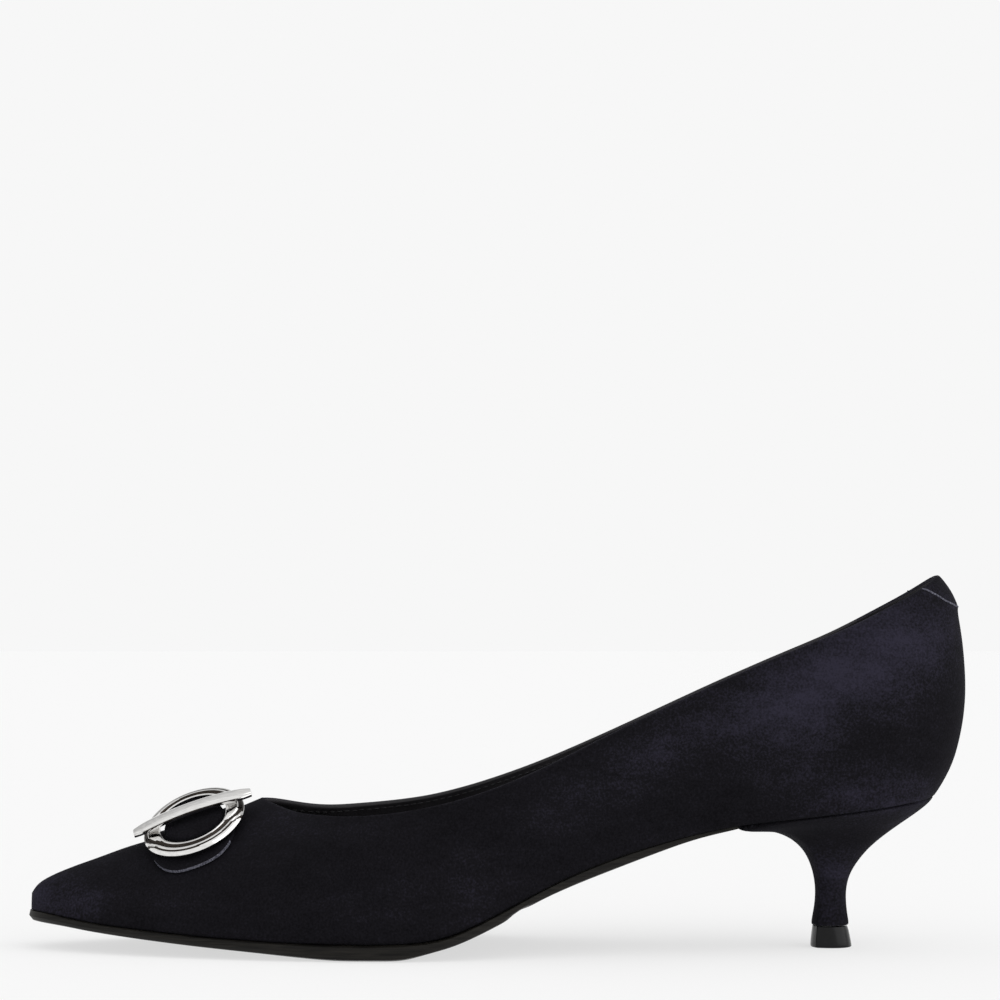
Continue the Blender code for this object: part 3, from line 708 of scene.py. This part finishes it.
@dataclass
class ShoeUpper:
    """The suede upper: shell, lining, a painted highlight along the topline's folded edge, stitches and
    the heel tab's raw edge.

    Each pair in stitch_rings is a share of a stitch's length and of its radius, and each pair in
    tab_edge a place along the shoe and a height.
    """

    rounding: Rounding = Rounding(30.0, 0.35, 2, 60.0)
    # width and strength of the painted highlight along the topline's folded edge
    fold_highlight_width: float = 1.5
    fold_highlight_strength: float = 0.6
    rim_pitch: float = 0.5
    slice_length: float = 8.0
    end_margin: float = 18.0
    stitch_pitch: float = 2.1
    stitch_length: float = 1.5
    stitch_radius: float = 0.17
    stitch_drop: float = 2.0
    stitch_reach: float = 4.0
    stitch_sides: int = 6
    stitch_rings: tuple[tuple[float, float], ...] = ((-0.5, 0.35), (-0.3, 1.0), (0.3, 1.0), (0.5, 0.35))
    opening_x: float = -60.0
    creases: tuple[Crease, ...] = (
        Crease((-27.0, -24.0, 36.5), (6.0, -24.0, 44.0), 3.2, 0.16),
        Crease((2.0, -25.0, 42.5), (30.0, -12.0, 47.0), 3.0, 0.20),
        Crease((-12.0, -25.0, 41.0), (2.0, -26.0, 50.0), 3.5, 0.14),
        Crease((8.0, -24.0, 44.0), (16.0, -24.0, 54.0), 3.5, 0.14),
        Crease((-27.0, 22.0, 36.5), (6.0, 24.0, 44.0), 3.2, 0.16),
        Crease((2.0, 25.0, 42.5), (30.0, 12.0, 47.0), 3.0, 0.20),
        Crease((-120.0, -38.0, 14.0), (-96.0, -33.0, 24.0), 6.0, 0.30),
        Crease((-112.0, -37.0, 20.0), (-84.0, -31.0, 30.0), 6.0, -0.22),
        Crease((-122.0, 36.0, 14.0), (-100.0, 30.0, 26.0), 6.0, 0.28),
    )
    tab_cord: float = 0.28
    tab_pitch: float = 0.6
    side_reach: float = 60.0
    tab_edge: tuple[tuple[float, float], ...] = (
        (21.4, 99.4),
        (24.9, 98.9),
        (28.2, 97.3),
        (30.9, 95.8),
        (34.2, 94.6),
        (37.2, 93.9),
    )
    rim: list[Vector] = field(default_factory=list)
    rim_fine: list[Vector] = field(default_factory=list)

    def build(self) -> None:
        """Builds the shell, the stitches and the heel tab's edge."""
        shell = copied_node("upper", "upper_shell")
        self.mark_zones(shell)
        self.rim = self.rim_line(shell)
        self.rounding.apply(shell)
        press_creases(shell, self.creases)
        self.rim_fine = self.spaced(self.rim, self.rim_pitch * MM)
        self.mark_fold_highlight(shell)
        self.dress(shell)
        seat_piece(shell, "suede", "upper")
        self.build_stitches(shell)
        self.build_tab_edge(shell)

    def mark_zones(self, shell: bpy.types.Object) -> None:
        """Gives each face its zone: lining where it looks to the middle of its slice."""
        places = [vertex.co for vertex in shell.data.vertices]
        front, back = min(place.x for place in places), max(place.x for place in places)
        step = self.slice_length * MM
        slices: dict[int, list[Vector]] = {}
        for place in places:
            slices.setdefault(round(place.x / step), []).append(place)
        first = round((front + self.end_margin * MM) / step)
        last = round((back - self.end_margin * MM) / step)
        for face in shell.data.polygons:
            number = min(max(round(face.center.x / step), first), last)
            middle = self.box_middle(slices[number])
            inner = face.normal.dot(face.center - middle) < 0.0
            face.material_index = Zone.LINING.value if inner else Zone.OUTSIDE.value

    @staticmethod
    def box_middle(places: list[Vector]) -> Vector:
        """The middle of the box round some places."""
        low = Vector([min(place[axis] for place in places) for axis in range(3)])
        high = Vector([max(place[axis] for place in places) for axis in range(3)])
        return (low + high) / 2

    def rim_line(self, shell: bpy.types.Object) -> list[Vector]:
        """Walks the border between outside and lining along the topline.

        Args:
            shell: the merged copy of the upper, with its zones.

        Returns:
            The places along the topline, in order, from the back round the throat.
        """
        mesh = bmesh.new()
        mesh.from_mesh(shell.data)
        left = {
            edge for edge in mesh.edges if len({face.material_index for face in edge.link_faces}) > 1
        }
        top = max((vertex for edge in left for vertex in edge.verts), key=lambda item: item.co.z)
        vertex, line, places = top, Vector((-1.0, 0.0, 0.0)), [top.co.copy()]
        while ahead := [edge for edge in vertex.link_edges if edge in left]:
            turns = [(edge.other_vert(vertex).co - vertex.co).normalized() for edge in ahead]
            line, edge = max(zip(turns, ahead), key=lambda pair: pair[0].dot(line))
            left.discard(edge)
            vertex = edge.other_vert(vertex)
            places.append(vertex.co.copy())
            if vertex == top:
                break
        log.info("topline: %d places, closed: %s", len(places), vertex == top)
        mesh.free()
        return places

    def dress(self, shell: bpy.types.Object) -> None:
        """Gives the shell its suede and its lining, in the order of the zones."""
        for material in (
            BrushedSuede().make(),
            GrainLeather("kid_lining_drummed_black", "#201f21", "#2e2c2f", 0.55, 0.25).make(),
        ):
            shell.data.materials.append(material)

    def mark_fold_highlight(self, shell: bpy.types.Object) -> None:
        """Marks a painted highlight along the topline's folded edge for the suede, strongest right at
        the edge.
        """
        fold_highlight = shell.data.attributes.new("fold_highlight", "FLOAT", "POINT")
        tree = KDTree(len(self.rim_fine))
        for number, place in enumerate(self.rim_fine):
            tree.insert(place, number)
        tree.balance()
        for vertex in shell.data.vertices:
            away = tree.find(vertex.co)[2] / MM
            near = max(0.0, 1.0 - away / self.fold_highlight_width)
            fold_highlight.data[vertex.index].value = self.fold_highlight_strength * near * near

    def build_tab_edge(self, shell: bpy.types.Object) -> None:
        """Lays the heel tab's raw lower edge on the shell, round the back from side to side."""
        tree = surface_tree(shell)
        corners = [Vector((x * MM, 0.0, z * MM)) for x, z in self.tab_edge]
        line = self.spaced(corners, self.tab_pitch * MM)
        places = []
        for side, row in ((-1.0, line), (1.0, line[::-1])):
            for place in row:
                start = place + Vector((0.0, side * self.side_reach * MM, 0.0))
                hit = tree.ray_cast(start, Vector((0.0, -side, 0.0)))[0]
                if hit is not None and hit.y * side > 0.0:
                    places.append(hit)
        data = bpy.data.curves.new("heel_tab_edge", "CURVE")
        data.dimensions = "3D"
        data.bevel_depth = self.tab_cord * MM
        data.bevel_resolution = 1
        spline = data.splines.new("POLY")
        spline.points.add(len(places) - 1)
        for point, place in zip(spline.points, places):
            point.co = (*place, 1.0)
        edge = bpy.data.objects.new("heel_tab_edge", data)
        bpy.context.scene.collection.objects.link(edge)
        only(edge)
        bpy.ops.object.convert(target="MESH")
        edge = bpy.context.active_object
        edge.data.materials.clear()
        edge.data.materials.append(CutSuedeEdge(name="suede_cut_edge_tab").make())
        smoothed(edge, PATH_SMOOTH_ANGLE)
        seat_piece(edge, "suede")

    def build_stitches(self, shell: bpy.types.Object) -> None:
        """Lays a row of stitches inside the topline, one capsule after another."""
        tree = surface_tree(shell)
        places = self.spaced(self.rim, self.stitch_pitch * MM)
        mesh = bmesh.new()
        for before, here, after in zip(places, places[1:], places[2:]):
            along = (after - before).normalized()
            inward = Vector((self.opening_x * MM - here.x, -here.y, 0.0)).normalized()
            start = here + inward * self.stitch_reach * MM
            start.z -= self.stitch_drop * MM
            hit, normal, _, _ = tree.ray_cast(start, -inward)
            if hit is None:
                continue
            self.add_stitch(mesh, hit, along, normal)
        data = bpy.data.meshes.new("topline_stitches")
        mesh.to_mesh(data)
        mesh.free()
        stitches = bpy.data.objects.new("topline_stitches", data)
        bpy.context.scene.collection.objects.link(stitches)
        stitches.data.materials.append(SpunThread().make())
        smoothed(stitches, PATH_SMOOTH_ANGLE)
        seat_piece(stitches, "suede")

    def add_stitch(self, mesh: bmesh.types.BMesh, place: Vector, along: Vector, out: Vector) -> None:
        """Adds one stitch: a six-sided capsule half sunk in the lining.

        Args:
            mesh: the mesh of all stitches.
            place: the stitch's middle.
            along: the way that it lies.
            out: the way that the lining faces.
        """
        side = along.cross(out).normalized()
        out = side.cross(along).normalized()
        sides = self.stitch_sides
        rings = []
        for share, size in self.stitch_rings:
            ring = []
            for turn in range(sides):
                angle = math.tau * turn / sides
                around = (side * math.cos(angle) + out * math.sin(angle)) * self.stitch_radius * size
                ring.append(mesh.verts.new(place + (along * self.stitch_length * share + around) * MM))
            rings.append(ring)
        faces = []
        for low, high in zip(rings, rings[1:]):
            for turn in range(sides):
                after = (turn + 1) % sides
                faces.append(mesh.faces.new((low[turn], low[after], high[after], high[turn])))
        faces.append(mesh.faces.new(rings[0][::-1]))
        faces.append(mesh.faces.new(rings[-1]))
        bmesh.ops.recalc_face_normals(mesh, faces=faces)

    @staticmethod
    def spaced(line: list[Vector], pitch: float) -> list[Vector]:
        """Places at an even pitch along a line."""
        found = [line[0].copy()]
        left = pitch
        for start, end in zip(line, line[1:]):
            length = (end - start).length
            gone = left
            while gone <= length and length > 0:
                found.append(start.lerp(end, gone / length))
                gone += pitch
            left = gone - length
        return found


# Sole, sock and heel


@dataclass
class SoleUnit:
    """The insole with its sock, and the leather outsole with its dressed edge.

    A facing is the least or greatest upward share of a face's normal that counts as that face.
    """

    sock_rounding: Rounding = Rounding(40.0, 0.8, 1, 40.0)
    sole_rounding: Rounding = Rounding(35.0, 0.75, 2, 40.0)
    tread_facing: float = -0.75
    under_facing: float = -0.3
    seam_lift: float = 0.22
    skive_run: float = 12.0
    skive_depth: float = 0.2

    def build(self) -> None:
        """Builds both layers."""
        sock = copied_node("insole", "sock")
        self.sock_rounding.apply(sock)
        sock.data.materials.append(
            GrainLeather("kid_sock_leather_drummed", "#141318", "#1f1d24", 0.5, 0.3, 1.1).make()
        )
        seat_piece(sock, "sock_leather", "insole")
        sole = copied_node("outsole", "outsole_leather")
        self.sole_rounding.apply(sole)
        raise_top(sole, self.seam_lift)
        self.skive_end(sole)
        sole.data.materials.append(PaintedEdge().make())
        sole.data.materials.append(
            GrainLeather("sole_leather_rolled", "#1c1a18", "#2b2926", 0.45, 0.35, 1.4, 30.0).make()
        )
        for face in sole.data.polygons:
            face.material_index = 1 if face.normal.z < self.tread_facing else 0
        seat_piece(sole, "sole_leather", "outsole")

    def skive_end(self, sole: bpy.types.Object) -> None:
        """Thins the sole's back end from below, so that it runs into the heel breast."""
        end = max(vertex.co.x for vertex in sole.data.vertices)
        for vertex in sole.data.vertices:
            near = 1.0 - (end - vertex.co.x) / (self.skive_run * MM)
            if near > 0.0 and vertex.normal.z < self.under_facing:
                vertex.co.z += self.skive_depth * MM * near * near


@dataclass
class CoveredHeel:
    """The suede-covered kitten heel and its top lift."""

    heel_rounding: Rounding = Rounding(45.0, 0.7, 2, 50.0)
    lift_rounding: Rounding = Rounding(40.0, 0.8, 2, 40.0)
    seam_lift: float = 0.27
    lip_front: float = -27.5
    lip_run: float = 17.0
    lip_depth: float = 1.1
    lip_fade: float = 1.5
    lip_facing: float = 0.2
    creases: tuple[Crease, ...] = (
        Crease((-20.0, -20.0, 31.0), (8.0, -16.0, 33.0), 3.0, 0.12),
        Crease((10.0, -14.0, 33.0), (26.0, -6.0, 36.0), 3.0, 0.12),
    )

    def build(self) -> None:
        """Builds the heel and the lift."""
        heel = copied_node("heel", "heel_cover")
        self.heel_rounding.apply(heel)
        press_creases(heel, self.creases)
        raise_top(heel, self.seam_lift)
        self.thicken_breast(heel)
        heel.data.materials.append(BrushedSuede(name="goat_suede_heel_cover").make())
        seat_piece(heel, "suede", "heel")
        lift = copied_node("top_lift", "top_lift_rubber")
        self.lift_rounding.apply(lift)
        lift.data.materials.append(MouldedRubber().make())
        seat_piece(lift, "lift_rubber", "top_lift")

    def thicken_breast(self, heel: bpy.types.Object) -> None:
        """Lowers the front of the heel's underside, so that it runs on from the sole's edge."""
        for vertex in heel.data.vertices:
            past = (vertex.co.x / MM - self.lip_front) / self.lip_run
            if past < 1.0 and vertex.normal.z < self.lip_facing:
                vertex.co.z -= self.lip_depth * MM * (1.0 - max(past, 0.0)) ** self.lip_fade


# The ornament


@dataclass
class Ornament:
    """The polished ring and bar on their suede pad.

    The ring's grooves are bands of its radius, and the bar's dark line is a band across it; both carry
    painted shade and painted reflection of dark surroundings.
    """

    pad_rounding: Rounding = Rounding(45.0, 0.7, 2, 45.0)
    plate_rounding: Rounding = Rounding(25.0, 0.7, 2, 35.0)
    pad_edge_radius: float = 14.9
    sideways_share: float = 0.6
    # bands that get painted shade: the ring's grooves by radius, the bar's dark line across it
    ring_grooves: tuple[tuple[float, float], ...] = ((10.95, 12.3), (13.0, 13.5))
    bar_shade_bands: tuple[tuple[float, float], ...] = ((-2.4, -1.8),)
    web_angle: float = 34.0
    web_spread: float = 1.5
    web_shift: float = 2.2
    face_share: float = 0.2

    def build(self) -> None:
        """Builds the pad, the ring and the bar."""
        self.build_pad()
        plate = PolishedPlate().make()
        # painted shade and painted reflection: a dark plate for the grooves and the bar's line, where
        # the polished metal mirrors dark surroundings
        groove_shade = PolishedPlate("zinc_groove_painted_shade", "#2b2724", "#3c3632", 0.3).make()
        ring = self.build_plate("ornament_ring", "ring_plate", plate, groove_shade)
        self.paint_groove_shade(ring, self.ring_place, self.ring_grooves)
        seat_piece(ring, "polished_metal", "ornament_ring")
        bar = self.build_plate("ornament_bar", "bar_plate", plate, groove_shade)
        self.paint_groove_shade(bar, self.bar_place, self.bar_shade_bands)
        seat_piece(bar, "polished_metal", "ornament_bar")

    def build_pad(self) -> None:
        """Builds the pad, with its raw edge in the cut suede's grey."""
        pad = copied_node("ornament_pad", "ornament_pad_suede")
        self.pad_rounding.apply(pad)
        pad.data.materials.append(BrushedSuede(name="goat_suede_pad").make())
        pad.data.materials.append(CutSuedeEdge(name="suede_cut_edge_pad").make())
        middle = self.middle_of(pad)
        for face in pad.data.polygons:
            out = face.center - middle
            sideways = abs(face.normal.dot(out.normalized())) > self.sideways_share
            face.material_index = int(sideways and out.length > self.pad_edge_radius * MM)
        seat_piece(pad, "suede", "ornament_pad")

    def build_plate(
        self, node: str, name: str, plate: bpy.types.Material, groove_shade: bpy.types.Material
    ) -> bpy.types.Object:
        """Builds the ring or the bar with its polished finish and its painted shade.

        Args:
            node: the CAD node.
            name: the piece's name.
            plate: the polished finish.
            groove_shade: the dark finish painted into the grooves as shade and dark reflections.

        Returns:
            The piece.
        """
        piece = copied_node(node, name)
        self.plate_rounding.apply(piece)
        piece.data.materials.append(plate)
        piece.data.materials.append(groove_shade)
        return piece

    @staticmethod
    def middle_of(piece: bpy.types.Object) -> Vector:
        """The mean place of a piece's vertices."""
        places = [vertex.co for vertex in piece.data.vertices]
        return sum(places, Vector()) / len(places)

    def paint_groove_shade(
        self,
        piece: bpy.types.Object,
        place_of: Callable[[Vector, Vector], float],
        bands: tuple[tuple[float, float], ...],
    ) -> None:
        """Paints shade into the recessed bands of a plate: a dark finish that stands for their shade
        and the dark reflections in them.

        Args:
            piece: the plate.
            place_of: gives the place of a point on the plate, in millimetres.
            bands: the bands with painted shade, from and to.
        """
        faces = piece.data.polygons
        upward = (face.normal * face.area for face in faces if face.normal.z > UPWARD)
        axis = sum(upward, Vector()).normalized()
        level = Vector((0.0, 1.0, 0.0))
        across = (level - axis * level.dot(axis)).normalized()
        middle = self.middle_of(piece)
        for face in faces:
            out = face.center - middle
            out -= axis * out.dot(axis)
            place = place_of(out, across)
            in_painted_shade = any(low < place < high for low, high in bands)
            face.material_index = int(in_painted_shade and face.normal.dot(axis) > self.face_share)

    def ring_place(self, out: Vector, across: Vector) -> float:
        """The radius on the ring, less beside the bar, where the grooves run further out."""
        turn = math.degrees(math.asin(min(abs(out.dot(across)) / out.length, 1.0)))
        web = min(max(self.web_spread * (1.0 - turn / self.web_angle), 0.0), 1.0)
        return out.length / MM - self.web_shift * web

    @staticmethod
    def bar_place(out: Vector, across: Vector) -> float:
        """The place across the bar, from its middle line."""
        return out.dot(across) / MM


# Studio


@dataclass(frozen=True)
class Sun:
    """Far soft light: the direction it comes from, its spread in degrees and its strength."""

    name: str
    place: tuple[float, float, float]
    spread: float
    strength: float


@dataclass
class Studio:
    """A pale seamless floor, soft light and the camera."""

    backdrop: str = "#f7f7f7"
    above_backdrop: str = "#b4b4b4"
    overhead: str = "#efefef"
    backdrop_rise: float = 0.34
    dimmest_rise: float = 0.5
    floor_size: float = 40.0
    floor_drop: float = 0.05
    paper_mm: float = 10.0 / 3.0
    paper_depth: float = 0.1
    floor_glow: float = 0.63
    floor_white: float = 0.32
    lens_mm: float = 96.3
    camera_place: tuple[float, float, float] = (-0.0921, -0.750, 0.085)
    camera_pitch: float = 3.0
    suns: tuple[Sun, ...] = (
        Sun("high_right", (1.2, -0.7, 0.9), 80.0, 1.3),
        Sun("high_left", (-0.8, -0.4, 1.2), 80.0, 0.2),
    )

    def build(self) -> None:
        """Builds the floor, the light and the camera."""
        self.build_floor()
        self.build_world()
        for sun in self.suns:
            self.build_sun(sun)
        self.build_camera()
        view = bpy.context.scene.view_settings
        view.view_transform = "Standard"
        view.look = "None"

    def build_floor(self) -> None:
        """Lays the floor: partly self-lit so that it reads as one pale field."""
        bpy.ops.object.select_all(action="DESELECT")
        bpy.ops.mesh.primitive_plane_add(
            size=self.floor_size, location=(0.0, 0.0, -self.floor_drop * MM)
        )
        floor = bpy.context.active_object
        floor.name = "studio_floor"
        material, tree, shader = start_material("paper_sweep_pale")
        fibre = add_noise(tree, object_place(tree), self.paper_mm, 2.0)
        tree.links.new(add_bump(tree, fibre, 0.02, self.paper_depth), shader.inputs["Normal"])
        grey = self.floor_white
        shader.inputs["Base Color"].default_value = (grey, grey, grey, 1.0)
        shader.inputs["Roughness"].default_value = 1.0
        shader.inputs["Specular IOR Level"].default_value = 0.0
        shader.inputs["Emission Color"].default_value = (1.0, 1.0, 1.0, 1.0)
        shader.inputs["Emission Strength"].default_value = self.floor_glow
        floor.data.materials.append(material)

    def build_world(self) -> None:
        """Lights the room: pale round the horizon, dimmer above that, pale again overhead."""
        world = bpy.data.worlds.new("studio_room")
        bpy.context.scene.world = world
        world.use_nodes = True
        tree = world.node_tree
        background = tree.nodes["Background"]
        place = add_node(tree, "ShaderNodeTexCoord").outputs["Generated"]
        rise = add_node(tree, "ShaderNodeSeparateXYZ", sockets={0: place}).outputs[2]
        stops = (
            (0.0, self.backdrop),
            (self.backdrop_rise, self.backdrop),
            (self.dimmest_rise, self.above_backdrop),
            (1.0, self.overhead),
        )
        tree.links.new(add_ramp(tree, rise, stops), background.inputs["Color"])

    def build_sun(self, sun: Sun) -> None:
        """Adds one far soft light that lights the floor evenly."""
        data = bpy.data.lights.new(sun.name, "SUN")
        data.energy = sun.strength
        data.angle = math.radians(sun.spread)
        light = bpy.data.objects.new(sun.name, data)
        bpy.context.scene.collection.objects.link(light)
        light.location = sun.place
        light.rotation_euler = (-Vector(sun.place)).to_track_quat("-Z", "Y").to_euler()

    def build_camera(self) -> None:
        """Sets the camera at the picture's angle."""
        data = bpy.data.cameras.new("picture_camera")
        data.lens = self.lens_mm
        data.sensor_width = 36.0
        data.clip_start, data.clip_end = 0.01, 100.0
        camera = bpy.data.objects.new("picture_camera", data)
        bpy.context.scene.collection.objects.link(camera)
        camera.location = self.camera_place
        camera.rotation_euler = (math.radians(90.0 + self.camera_pitch), 0.0, 0.0)
        bpy.context.scene.camera = camera


def main() -> None:
    """Builds the shoe's pieces and the studio in order."""
    logging.basicConfig(level=logging.INFO, format="%(name)s: %(message)s")
    for part in (ShoeUpper(), SoleUnit(), CoveredHeel(), Ornament(), Studio()):
        part.build()
        log.info("built %s", type(part).__name__)


if __name__ == "__main__":
    main()
